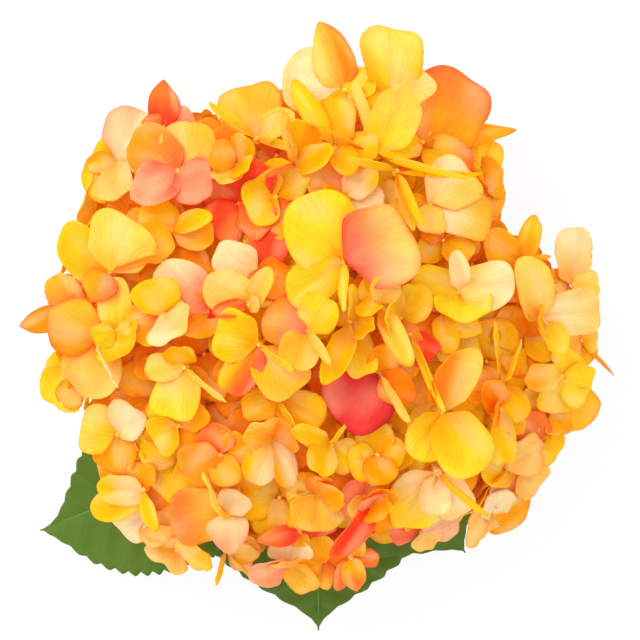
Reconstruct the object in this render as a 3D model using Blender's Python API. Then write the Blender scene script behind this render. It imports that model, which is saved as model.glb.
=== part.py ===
"""A mophead hydrangea, cut just below its leaves and lying face up on its lowest sepals."""

import math

import bmesh
import bpy
import numpy as np
from mathutils import Matrix, Vector
from mathutils.bvhtree import BVHTree

# Millimetres and degrees throughout; the meshes are turned into metres when they are stored.
MM = 0.001
DOME_ACROSS = 87.0  # hubs of the florets lie on a flattened dome of this radius
DOME_TALL = 56.0
DOME_FOOT = 20.0
LEAN_SHARE = 0.85  # how far a floret turns from upright to the dome's own normal
SEPAL_THICK = 0.7
GAP = 0.35  # left between pieces that touch in the real head
SEPAL_SIDES = 7
SEPAL_SCALE = 1.07
HUB_RADIUS = 2.3
STALK_RADIUS = 0.6
KNUCKLE_RADIUS = 4.0
RAY_RADIUS = 1.5
STEM_RADIUS = 4.2
STEM_FOOT = 1.0
STEM_TOP = 24.0
STEM_HEAD = 6.2
LEAF_THICK = 0.8
LIFT_STEP = 0.6
FLAT_ENOUGH = 2.5  # faces that meet at less than this become one
SMALLEST = 0.3  # points nearer than this are merged where the body stays closed
MOST_LIFT = 15.0

# How a sepal is held: rise at its base, curl towards its tip, bend across it and roll about its length.
HELD = {
    "flat": (14, -18, 22, 0),
    "wide": (6, -30, -18, 0),
    "cup": (38, 24, 62, 0),
    "stand": (72, 14, 26, 0),
    "edge": (24, 8, 30, 74),
    "turn": (24, 8, 30, -74),
    "fold": (26, 4, 130, 0),
    "hood": (30, -46, -105, 0),
}

# Each branch: its knuckle's bearing, distance from the middle and height.
RAYS = [
    ("ray_centre", 70, 6, 50),
    ("ray_east", 8, 37, 37),
    ("ray_north_east", 60, 37, 38),
    ("ray_north", 112, 36, 37),
    ("ray_west", 163, 37, 37),
    ("ray_south_west", 214, 37, 36),
    ("ray_south", 264, 36, 35),
    ("ray_south_east", 314, 37, 36),
]

# Each leaf: tip across and up, bearing of its midrib, length, width, height at base, middle and tip,
# and the bearing at which its stalk leaves the stem.
LEAVES = [
    ("leaf_south", 2, -98, 270, 84, 58, 4.5, 3.2, 0.0, 270),
    ("leaf_south_west", -84, -67, 203, 78, 56, 9.0, 8.0, 0.0, 232),
    ("leaf_south_east", 50, -71, 308, 74, 54, 12.0, 8.5, 2.6, 306),
]

# Florets round the rim that rest on the surface: bearing, hub's distance, turn of its four sepals,
# sepal length and width.
RIM = [
    ("floret_01", 12, 74, 10, 17, 17),
    ("floret_02", 40, 73, 35, 18, 17),
    ("floret_03", 68, 72, 20, 18, 18),
    ("floret_04", 98, 72, 50, 17, 17),
    ("floret_05", 127, 73, 5, 18, 17),
    ("floret_06", 157, 73, 30, 17, 17),
    ("floret_07", 187, 74, 15, 17, 16),
    ("floret_08", 217, 72, 40, 16, 16),
    ("floret_09", 247, 72, 25, 16, 16),
    ("floret_10", 283, 72, 55, 16, 16),
    ("floret_11", 314, 72, 10, 16, 17),
    ("floret_12", 343, 73, 30, 17, 17),
]

# The other florets, deepest first: hub across and up, height over the dome, extra lean, and each sepal's
# bearing, length, width and how it is held.
FLORETS = [
    ("floret_13", -77, -17, -6, 14, [(20, 13, 13, "cup"), (105, 15, 14, "flat"), (190, 14, 15, "flat"), (275, 15, 14, "flat")]),
    ("floret_14", 80, 10, -4, 10, [(92, 17, 12, "flat"), (180, 11, 12, "cup"), (262, 13, 13, "flat"), (0, 11, 14, "flat")]),
    ("floret_15", 77, -19, -3, 6, [(62, 11, 13, "flat"), (0, 11, 13, "flat"), (292, 15, 14, "flat"), (180, 12, 12, "stand")]),
    ("floret_16", -42, -73, -4, 8, [(215, 13, 15, "flat"), (318, 13, 13, "flat"), (120, 13, 13, "flat"), (40, 11, 12, "cup")]),
    ("floret_17", -60, 51, -3, 4, [(53, 17, 15, "flat"), (262, 13, 13, "flat"), (205, 18, 14, "flat"), (130, 14, 14, "flat")]),
    ("floret_18", 52, 42, -5, 10, [(270, 15, 15, "flat"), (352, 13, 14, "flat"), (75, 13, 13, "cup"), (180, 10, 11, "cup")]),
    ("floret_19", 64, -49, -4, 4, [(250, 14, 14, "flat"), (330, 13, 13, "flat"), (65, 14, 13, "flat"), (155, 13, 12, "cup")]),
    ("floret_20", -60, -37, -4, 0, [(140, 14, 14, "flat"), (48, 12, 12, "flat"), (262, 14, 14, "flat"), (325, 12, 12, "edge")]),
    ("floret_21", 2, -55, -4, 0, [(88, 10, 10, "cup"), (268, 16, 17, "flat"), (175, 12, 12, "flat"), (0, 12, 12, "cup")]),
    ("floret_22", -11, 36, -7, 0, [(150, 16, 16, "flat"), (78, 16, 15, "flat"), (246, 13, 13, "cup"), (0, 11, 12, "cup")]),
    ("floret_23", 10, 37, -5, 0, [(40, 13, 13, "flat"), (130, 13, 12, "flat"), (220, 10, 10, "cup"), (310, 10, 10, "cup")]),
    ("floret_24", -31, 1, -5, 0, [(133, 21, 17, "flat"), (58, 12, 12, "cup"), (240, 11, 11, "cup"), (325, 10, 10, "cup")]),
    ("floret_25", 21, -20, -5, 0, [(229, 22, 22, "flat"), (33, 14, 19, "stand"), (135, 12, 12, "cup"), (320, 12, 12, "flat")]),
    ("floret_26", -43, 26, -2, 0, [(325, 15, 12, "cup"), (115, 14, 14, "flat"), (222, 17, 14, "flat"), (18, 14, 12, "flat")]),
    ("floret_27", -68, -7, -1, 0, [(155, 18, 19, "flat"), (262, 17, 17, "flat"), (340, 13, 13, "edge"), (75, 13, 13, "flat")]),
    ("floret_28", 71, -1, 0, 0, [(106, 20, 14, "flat"), (24, 15, 14, "flat"), (300, 14, 13, "flat"), (195, 13, 12, "cup")]),
    ("floret_29", 27, -1, -4, 0, [(118, 13, 14, "cup"), (48, 11, 11, "cup"), (168, 13, 12, "cup"), (286, 19, 12, "edge")]),
    ("floret_30", -16, -9, -3, 0, [(162, 16, 15, "flat"), (0, 9, 11, "stand"), (306, 21, 17, "flat"), (240, 18, 15, "flat")]),
    ("floret_31", -12, -38, -2, 0, [(240, 18, 12, "hood"), (292, 17, 10, "hood"), (130, 12, 13, "cup"), (30, 12, 12, "cup")]),
    ("floret_32", -26, -61, -1, 0, [(106, 14, 15, "cup"), (178, 18, 16, "flat"), (242, 14, 12, "cup"), (305, 13, 12, "flat")]),
    ("floret_33", -39, -16, -1, 0, [(155, 15, 14, "cup"), (247, 16, 15, "flat"), (325, 12, 12, "edge"), (68, 11, 12, "cup")]),
    ("floret_34", -62, 13, 0, 0, [(74, 22, 22, "flat"), (140, 20, 14, "flat"), (236, 12, 12, "cup"), (320, 13, 12, "flat")]),
    ("floret_35", -45, 0, 0, 0, [(120, 14, 14, "cup"), (200, 15, 13, "flat"), (288, 11, 12, "cup"), (30, 10, 11, "cup")]),
    ("floret_36", 39, -49, 0, 0, [(234, 21, 19, "flat"), (298, 16, 13, "flat"), (340, 18, 12, "edge"), (100, 12, 13, "cup")]),
    ("floret_37", 20, 49, 0, 0, [(108, 24, 11, "edge"), (176, 15, 12, "stand"), (345, 18, 11, "turn"), (262, 11, 11, "cup")]),
    ("floret_38", -17, 54, 0, 0, [(98, 20, 19, "flat"), (42, 17, 14, "fold"), (142, 19, 11, "turn"), (275, 11, 13, "stand")]),
    ("floret_39", 1, 70, 3, -6, [(176, 13, 16, "flat"), (92, 19, 14, "fold"), (290, 13, 13, "flat"), (25, 13, 13, "flat")]),
    ("floret_40", 37, 59, 2, -6, [(55, 26, 21, "wide"), (357, 21, 14, "flat"), (318, 17, 15, "flat"), (215, 11, 11, "cup")]),
    ("floret_41", 36, 34, 1, 0, [(36, 18, 16, "flat"), (343, 21, 16, "flat"), (190, 11, 11, "cup"), (272, 12, 12, "cup")]),
    ("floret_42", 45, 7, 0, 0, [(151, 18, 11, "fold"), (92, 14, 14, "fold"), (14, 18, 16, "flat"), (296, 12, 13, "cup")]),
    ("floret_43", 40, -30, 2, 0, [(70, 22, 15, "fold"), (112, 15, 12, "edge"), (235, 17, 13, "flat"), (304, 22, 19, "flat")]),
    ("floret_44", -41, 44, 2, 0, [(141, 19, 17, "flat"), (215, 16, 15, "flat"), (322, 13, 13, "cup"), (71, 19, 15, "flat")]),
    ("floret_45", -1, -5, 3, 0, [(157, 14, 14, "cup"), (66, 13, 14, "cup"), (245, 13, 13, "cup"), (330, 10, 11, "cup")]),
    ("floret_46", -19, 3, 4, 0, [(145, 17, 15, "flat"), (67, 15, 13, "fold"), (200, 12, 12, "cup"), (320, 10, 10, "cup")]),
    ("floret_47", 10, 16, 3, 0, [(125, 23, 22, "flat"), (20, 24, 27, "flat"), (217, 18, 15, "flat"), (293, 15, 11, "cup")]),
    ("floret_48", 27, 70, 7, -8, [(100, 22, 17, "flat"), (155, 15, 15, "cup"), (36, 14, 14, "flat"), (270, 21, 16, "fold")]),
]


def clear_scene():
    for obj in list(bpy.data.objects):
        bpy.data.objects.remove(obj)
    for mesh in list(bpy.data.meshes):
        bpy.data.meshes.remove(mesh)


def bearing(angle, length=1.0, height=0.0):
    turn = math.radians(angle)
    return Vector((length * math.cos(turn), length * math.sin(turn), height))


def dome_height(across, up):
    share = min(0.97, math.hypot(across, up) / DOME_ACROSS)
    return DOME_FOOT + DOME_TALL * math.sqrt(1 - share * share)


def dome_lean(across, up):
    share = min(0.97, math.hypot(across, up) / DOME_ACROSS)
    slope = (share / DOME_ACROSS) / (math.sqrt(1 - share * share) / DOME_TALL)
    return LEAN_SHARE * math.degrees(math.atan(slope))


def facing(across, up, lean):
    """Turns a floret's own upright axis to the way it leans from the middle of the head."""
    away = math.atan2(up, across)
    axis = Vector((-math.sin(away), math.cos(away), 0))
    return Matrix.Rotation(math.radians(lean), 3, axis)


def sepal_point(a, b, length, width, held, pair):
    """Carries a point of the unit disc, a across and b along, to its place on a sepal."""
    rise, curl, bend, roll = HELD[held]
    along = 0.5 + 0.5 * b
    start = math.radians(rise + 5 * pair)
    curve = math.radians(curl)
    angle = start + curve * along
    out = length * (math.sin(angle) - math.sin(start)) / curve
    tall = length * (math.cos(start) - math.cos(angle)) / curve
    flat = 0.5 * width * a * min(1, along / 0.3) ** 0.85
    round_ = math.radians(bend) / width
    side = math.sin(round_ * flat) / round_
    over = (1 - math.cos(round_ * flat)) / round_
    turn = math.radians(roll) * min(1, along / 0.3)
    raised = 0.36 * width * abs(math.sin(turn))
    side, over = (
        side * math.cos(turn) - over * math.sin(turn),
        side * math.sin(turn) + over * math.cos(turn) + raised,
    )
    return Vector((out - math.sin(angle) * over, side, tall + math.cos(angle) * over + 1.1 * pair))


def add_sepal(bm, spec, pair, thick):
    """One sepal as a thin closed sheet, built from a disc of triangles."""
    angle, length, width, held = spec
    length, width = length * SEPAL_SCALE, width * SEPAL_SCALE
    base_first = Matrix.Rotation(math.pi, 4, "Z")
    made = bmesh.ops.create_circle(
        bm, cap_ends=True, cap_tris=True, segments=SEPAL_SIDES, radius=1, matrix=base_first
    )
    turn = Matrix.Rotation(math.radians(angle), 3, "Z")
    for vert in made["verts"]:
        vert.co = turn @ sepal_point(vert.co.x, vert.co.y, length, width, held, pair)
    faces = list({face for vert in made["verts"] for face in vert.link_faces})
    bmesh.ops.recalc_face_normals(bm, faces=faces)
    bmesh.ops.solidify(bm, geom=faces, thickness=thick)


def add_between(bm, start, end, thin, thick, sides=6):
    """A round rod from start to end."""
    along = end - start
    place = Matrix.Translation((start + end) / 2) @ along.to_track_quat("Z", "Y").to_matrix().to_4x4()
    bmesh.ops.create_cone(
        bm, cap_ends=True, segments=sides, radius1=thin, radius2=thick, depth=along.length, matrix=place
    )


def floret_shells(spec, hub, turn, knuckle, thick, stalk):
    """The sepals, hub and stalk of one floret as closed shells that still cross one another."""
    bm = bmesh.new()
    for index, sepal in enumerate(spec):
        add_sepal(bm, sepal, index % 2, thick)
    bud = Matrix.Translation((0, 0, 0.6)) @ Matrix.Diagonal((1, 1, 0.85, 1))
    bmesh.ops.create_icosphere(bm, subdivisions=1, radius=HUB_RADIUS, matrix=bud)
    place = Matrix.Translation(hub) @ turn.to_4x4()
    bm.transform(place)
    foot = knuckle + (hub - knuckle).normalized() * (KNUCKLE_RADIUS + GAP)
    add_between(bm, foot, hub, stalk, stalk * 1.3, 5)
    bmesh.ops.triangulate(bm, faces=bm.faces)
    bmesh.ops.recalc_face_normals(bm, faces=bm.faces)
    return bm


def tree_of(bm):
    return BVHTree.FromBMesh(bm)


def store(name, bm, collection):
    mesh = bpy.data.meshes.new(name)
    bm.to_mesh(mesh)
    bm.free()
    obj = bpy.data.objects.new(name, mesh)
    collection.objects.link(obj)
    return obj


def made_one(obj, extra):
    """Joins the object's crossing shells, and the extra one, into a single closed body."""
    union = obj.modifiers.new("join", "BOOLEAN")
    union.operation = "UNION"
    union.solver = "EXACT"
    union.use_self = True
    union.object = extra
    bpy.context.view_layer.update()
    graph = bpy.context.evaluated_depsgraph_get()
    joined = bpy.data.meshes.new_from_object(obj.evaluated_get(graph))
    obj.modifiers.remove(union)
    obj.data = joined
    bpy.data.objects.remove(extra)
    for smallest in (SMALLEST, 0.5 * SMALLEST, 0):
        bm = bmesh.new()
        bm.from_mesh(joined)
        if smallest:
            bmesh.ops.remove_doubles(bm, verts=bm.verts, dist=smallest)
        bmesh.ops.dissolve_limit(bm, angle_limit=math.radians(FLAT_ENOUGH), verts=bm.verts, edges=bm.edges)
        bmesh.ops.triangulate(bm, faces=bm.faces)
        closed = all(edge.is_manifold and edge.is_contiguous for edge in bm.edges)
        closed = closed and all(vert.is_manifold for vert in bm.verts)
        if closed or not smallest:
            bm.to_mesh(joined)
            bm.free()
            return obj
        bm.free()


def tube(name, points, collection, sides=1):
    """A round tube through the points, each given with its radius."""
    curve = bpy.data.curves.new(name, "CURVE")
    curve.dimensions = "3D"
    curve.bevel_depth = 1
    curve.bevel_resolution = sides
    curve.use_fill_caps = True
    spline = curve.splines.new("POLY")
    spline.points.add(len(points) - 1)
    for point, (place, radius) in zip(spline.points, points):
        point.co = (*place, 1)
        point.radius = radius
    guide = bpy.data.objects.new(name, curve)
    collection.objects.link(guide)
    bpy.context.view_layer.update()
    graph = bpy.context.evaluated_depsgraph_get()
    mesh = bpy.data.meshes.new_from_object(guide.evaluated_get(graph))
    bpy.data.objects.remove(guide)
    bm = bmesh.new()
    bm.from_mesh(mesh)
    bmesh.ops.remove_doubles(bm, verts=bm.verts, dist=0.0001)
    bmesh.ops.triangulate(bm, faces=bm.faces)
    bmesh.ops.recalc_face_normals(bm, faces=bm.faces)
    return bm


def stem(collection):
    """The cut stem with the swollen top that the branches leave from."""
    rings = [(STEM_FOOT, STEM_RADIUS), (STEM_TOP - 6.5, STEM_RADIUS)]
    for tall in (-3.6, 0.0, 3.6, 5.6):
        rings.append((STEM_TOP + tall, math.sqrt(STEM_HEAD**2 - tall**2)))
    return store("stem", tube("stem", [(Vector((0, 0, z)), wide) for z, wide in rings], collection, 3), collection)


def ray(name, knuckle, collection):
    """One branch, from the stem's swollen top to the knuckle that its florets leave from."""
    top = Vector((0, 0, STEM_TOP))
    start = top + (knuckle - top).normalized() * (STEM_HEAD + GAP)
    points = [(start, RAY_RADIUS * 1.2), (start.lerp(knuckle, 0.5), RAY_RADIUS), (knuckle, RAY_RADIUS)]
    rod = tube(name, points, collection)
    ball = bmesh.new()
    bmesh.ops.create_icosphere(ball, subdivisions=2, radius=KNUCKLE_RADIUS, matrix=Matrix.Translation(knuckle))
    return made_one(store(name, rod, collection), store(name + "_ball", ball, collection))


def leaf_half_width(along, width):
    """Half the blade's width, from 0 at its base to 1 at its drawn-out tip."""
    body = math.sin(math.pi * min(1, along / 0.985) ** 0.92) ** 0.72
    return 0.5 * width * body * (1 - 0.28 * max(0, along - 0.72) / 0.28)


def leaf(spec, collection):
    """A toothed leaf on its stalk, with the midrib standing out below."""
    name, tip_x, tip_y, angle, length, width, base_z, mid_z, tip_z, leaves_at = spec
    along_way = bearing(angle)
    side_way = bearing(angle + 90)
    tip = Vector((tip_x, tip_y, 0))
    base = tip - along_way * length

    def height(along):
        low = base_z + (tip_z - base_z) * along
        return low + 4 * (mid_z - (base_z + tip_z) / 2) * along * (1 - along)

    bm = bmesh.new()
    rows = 14
    bmesh.ops.create_grid(bm, x_segments=4, y_segments=rows, size=1)
    for vert in bm.verts:
        along = 0.02 + 0.98 * (0.5 + 0.5 * vert.co.y)
        step = round((0.5 + 0.5 * vert.co.y) * rows)
        half = leaf_half_width(along, width) + 0.25
        tooth = 1.5 * (step % 2) if abs(vert.co.x) > 0.99 and 0 < step < rows else 0
        across = vert.co.x * (half + tooth)
        lift = 0.0022 * across * across
        vert.co = base + along_way * (length * along) + side_way * across
        vert.co.z = height(along) + lift
    bmesh.ops.recalc_face_normals(bm, faces=bm.faces)
    bmesh.ops.solidify(bm, geom=bm.faces[:], thickness=LEAF_THICK)
    bmesh.ops.triangulate(bm, faces=bm.faces)
    bmesh.ops.recalc_face_normals(bm, faces=bm.faces)
    start = bearing(leaves_at, STEM_RADIUS + GAP, base_z + 1.5)
    points = [
        (start, 1.6),
        (bearing(leaves_at, STEM_RADIUS + 5, base_z + 1.0), 1.4),
        (base + along_way * 2 + Vector((0, 0, height(0.02) + 0.2)), 1.25),
        (base + along_way * (0.35 * length) + Vector((0, 0, height(0.35))), 0.95),
        (base + along_way * (0.7 * length) + Vector((0, 0, height(0.7) + 0.05)), 0.7),
    ]
    rib = tube(name, points, collection)
    return made_one(store(name, bm, collection), store(name + "_rib", rib, collection))


def near_knuckles(hub):
    knuckles = [bearing(angle, far, tall) for _, angle, far, tall in RAYS]
    return sorted(knuckles, key=lambda knuckle: (hub - knuckle).length)[:4]


def clear_of(tree, placed):
    return not any(tree.overlap(other) for other in placed)


def settle(name, spec, hub, turn, placed, collection, seated):
    """Raises a floret until it touches nothing placed before it, then stores it as one body."""
    if seated:
        trial = floret_shells(spec, hub, turn, Vector((0, 0, 40)), SEPAL_THICK, STALK_RADIUS)
        hub = hub - Vector((0, 0, min(vert.co.z for vert in trial.verts)))
        trial.free()
    for step in range(int(MOST_LIFT / LIFT_STEP) + 1):
        raised = hub + Vector((0, 0, step * LIFT_STEP))
        for knuckle in near_knuckles(raised):
            trial = floret_shells(spec, raised, turn, knuckle, SEPAL_THICK + 2 * GAP, STALK_RADIUS + GAP)
            tree = tree_of(trial)
            trial.free()
            if not clear_of(tree, placed):
                continue
            bm = floret_shells(spec, raised, turn, knuckle, SEPAL_THICK, STALK_RADIUS)
            placed.append(tree_of(bm))
            print(f"{name} raised {step * LIFT_STEP:.1f}")
            extra = bmesh.new()
            grain = Matrix.Translation(raised)
            bmesh.ops.create_icosphere(extra, subdivisions=1, radius=HUB_RADIUS * 0.5, matrix=grain)
            return made_one(store(name, bm, collection), store(name + "_core", extra, collection))
    raise RuntimeError(f"{name} finds no room")


def material(name, colour):
    made = bpy.data.materials.new(name)
    made.use_nodes = True
    shader = made.node_tree.nodes["Principled BSDF"]
    shader.inputs["Base Color"].default_value = (*colour, 1)
    shader.inputs["Roughness"].default_value = 0.6
    return made


def finish(collection):
    """Turns millimetres into metres, with the foot of the whole head's box at the origin."""
    corners = np.array([vert.co for obj in collection.objects for vert in obj.data.vertices])
    low, high = corners.min(axis=0), corners.max(axis=0)
    shift = Vector((-(low[0] + high[0]) / 2, -(low[1] + high[1]) / 2, -low[2]))
    place = Matrix.Scale(MM, 4) @ Matrix.Translation(shift)
    for obj in collection.objects:
        obj.data.transform(place)
        obj.data.materials.clear()
        green = obj.name.startswith(("leaf", "stem", "ray"))
        colour = (0.12, 0.28, 0.05) if green else (1.0, 0.45, 0.06)
        obj.data.materials.append(material(obj.name, colour))


def main():
    clear_scene()
    collection = bpy.data.collections.new("hydrangea_head")
    bpy.context.scene.collection.children.link(collection)
    pieces = [stem(collection)]
    for name, angle, far, tall in RAYS:
        pieces.append(ray(name, bearing(angle, far, tall), collection))
    for spec in LEAVES:
        pieces.append(leaf(spec, collection))
    placed = []
    for piece in pieces:
        bm = bmesh.new()
        bm.from_mesh(piece.data)
        placed.append(tree_of(bm))
        bm.free()
    for name, angle, far, spin, length, width in RIM:
        hub = bearing(angle, far, 20)
        spec = [(spin + quarter * 90, length, width, "flat") for quarter in range(4)]
        settle(name, spec, hub, facing(hub.x, hub.y, 92), placed, collection, True)
    for name, across, up, height, lean, spec in FLORETS:
        hub = Vector((across, up, dome_height(across, up) + height))
        turn = facing(across, up, dome_lean(across, up) + lean)
        settle(name, spec, hub, turn, placed, collection, False)
    finish(collection)


main()
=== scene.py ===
import math

import bpy
import numpy as np
from mathutils import Matrix, Vector


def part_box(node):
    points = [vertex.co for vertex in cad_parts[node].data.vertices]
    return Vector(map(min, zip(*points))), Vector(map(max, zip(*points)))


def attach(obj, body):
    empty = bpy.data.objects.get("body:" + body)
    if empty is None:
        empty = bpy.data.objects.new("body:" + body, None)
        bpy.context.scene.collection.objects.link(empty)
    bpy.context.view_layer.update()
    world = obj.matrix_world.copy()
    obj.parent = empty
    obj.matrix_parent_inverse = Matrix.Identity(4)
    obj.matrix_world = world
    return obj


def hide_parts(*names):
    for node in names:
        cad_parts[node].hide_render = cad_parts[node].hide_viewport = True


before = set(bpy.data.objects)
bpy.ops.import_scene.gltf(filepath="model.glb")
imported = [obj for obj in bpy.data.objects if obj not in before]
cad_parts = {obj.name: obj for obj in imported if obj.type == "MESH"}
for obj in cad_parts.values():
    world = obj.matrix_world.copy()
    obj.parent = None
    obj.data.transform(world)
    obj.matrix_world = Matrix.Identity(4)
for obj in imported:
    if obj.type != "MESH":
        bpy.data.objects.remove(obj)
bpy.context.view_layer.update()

bl_info = {
    "name": "Hydrangea flower head",
    "version": (1, 0, 0),
    "blender": (4, 5, 0),
    "location": "3D View > Sidebar > Hydrangea",
    "description": "Builds a cut mophead hydrangea: florets, branches, stem and toothed leaves",
    "category": "Add Mesh",
}

MM = 0.001

STALK_RINGS = 10  # lengths that a stalk is drawn up in
UPRIGHT_SHARE = 0.82  # how far the outer florets follow the dome, for they turn up to the light
SQUARENESS = 2.5  # 2 gives a round sepal, more gives fuller corners
UNLIKENESS = 0.15  # how far each sepal's way of being held, and each bud's size, strays from the listed one
# The upper pair of a floret's sepals sits over the lower one, in millimetres, and rises more, in degrees.
PAIR_GAP = 1.1
PAIR_RISE = 5
# How much shorter or longer a sepal on a leaning floret may be than it looks from above.
LEAST_STRETCH = 0.75
MOST_STRETCH = 1.4
# Steps across a sepal's grid: on the florets of the solid model, on the small ones and on the hidden ones.
LISTED_STEPS = 18
SMALL_STEPS = 16
HIDDEN_STEPS = 10

# The dome that the hubs of the florets lie on, in millimetres.
DOME_ACROSS = 87.0
DOME_TALL = 56.0
DOME_FOOT = 20.0
LEAN_SHARE = 0.85
KNUCKLE_RADIUS = 4.0
STALK_GAP = 0.1  # between a stalk's foot and its knuckle
STEM_RADIUS = 4.2
STEM_FOOT = 1.0
STEM_TOP = 24.0
STEM_HEAD = 6.2

# The leaves, in millimetres.
LEAF_WALL = 0.4
LEAF_FLOOR = 0.25  # nothing of a blade comes nearer to the floor
TEETH = 22  # low, rounded teeth to a side
TOOTH = 1.6
SIDE_VEIN_GAP = 9.3
VEIN_SWEEP = 0.55  # how far a side vein runs forward for its run outward
DRIP_TIP = 8.0

# How a sepal is held: rise at its base, curl towards its tip, bend across it and roll about its length.
HELD = {
    "flat": (12, -14, 18, 0),
    "wide": (6, -30, -18, 0),
    "bowl": (24, 26, 66, 0),
    "cup": (38, 24, 62, 0),
    "edge": (24, 8, 30, 62),
    "turn": (24, 8, 30, -62),
    "fold": (26, 4, 130, 0),
    "hood": (30, -46, -105, 0),
}
# Held in one of these ways, a sepal shows only a strip of itself.
NARROW = ("edge", "turn", "fold")
# The outlines that a sepal draws from when its entry names none, the commoner ones twice.
SHAPES = ("round", "fan", "round", "point", "fan")

# Each branch: its knuckle's bearing, distance from the middle and height.
RAYS = [
    ("ray_centre", 70, 6, 50),
    ("ray_east", 8, 37, 37),
    ("ray_north_east", 60, 37, 38),
    ("ray_north", 112, 36, 37),
    ("ray_west", 163, 37, 37),
    ("ray_south_west", 214, 37, 36),
    ("ray_south", 264, 36, 35),
    ("ray_south_east", 314, 37, 36),
]

# Each leaf: tip across and up, bearing from base to tip, length, width and taper for its left half, the same
# for its right half, height at base, middle and tip, and the bearing at which its stalk leaves the stem.
LEAVES = [
    ("leaf_south", 2, -101, 270, 86, (76, 0.95), (86, 0.9), 4.5, 3.2, 0.0, 270),
    ("leaf_south_west", -87, -69, 202, 80, (54, 0.5), (57, 1.35), 9.0, 8.0, 0.0, 232),
    ("leaf_south_east", 49, -76, 308, 76, (54, 0.72), (70, 0.72), 12.0, 8.5, 2.6, 306),
]

# Florets round the rim, low on the sides: bearing, hub's distance and height, turn of its four sepals,
# sepal length, sepal width and tints of alternate sepals.
RIM = [
    ("floret_01", 8, 64, 20, 10, 13, 15, "peach", "gold"),
    ("floret_02", 40, 58, 20, 35, 14, 16, "orange", "gold"),
    ("floret_03", 68, 62, 20, 20, 15, 16, "gold", "orange"),
    ("floret_04", 98, 56, 20, 50, 14, 16, "gold", "pale"),
    ("floret_05", 127, 66, 20, 5, 15, 16, "orange", "apricot"),
    ("floret_06", 157, 73, 20, 30, 17, 17, "gold", "pale"),
    ("floret_07", 187, 70, 23, 15, 17, 16, "gold", "yellow"),
    ("floret_08", 217, 65, 28, 40, 16, 16, "gold", "yellow"),
    ("floret_09", 247, 67, 30, 25, 15, 16, "apricot", "peach"),
    ("floret_10", 283, 66, 25, 55, 15, 16, "coral", "apricot"),
    ("floret_11", 314, 72, 25, 10, 16, 17, "orange", "gold"),
    ("floret_12", 343, 73, 20, 30, 17, 17, "orange", "peach"),
]

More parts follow.
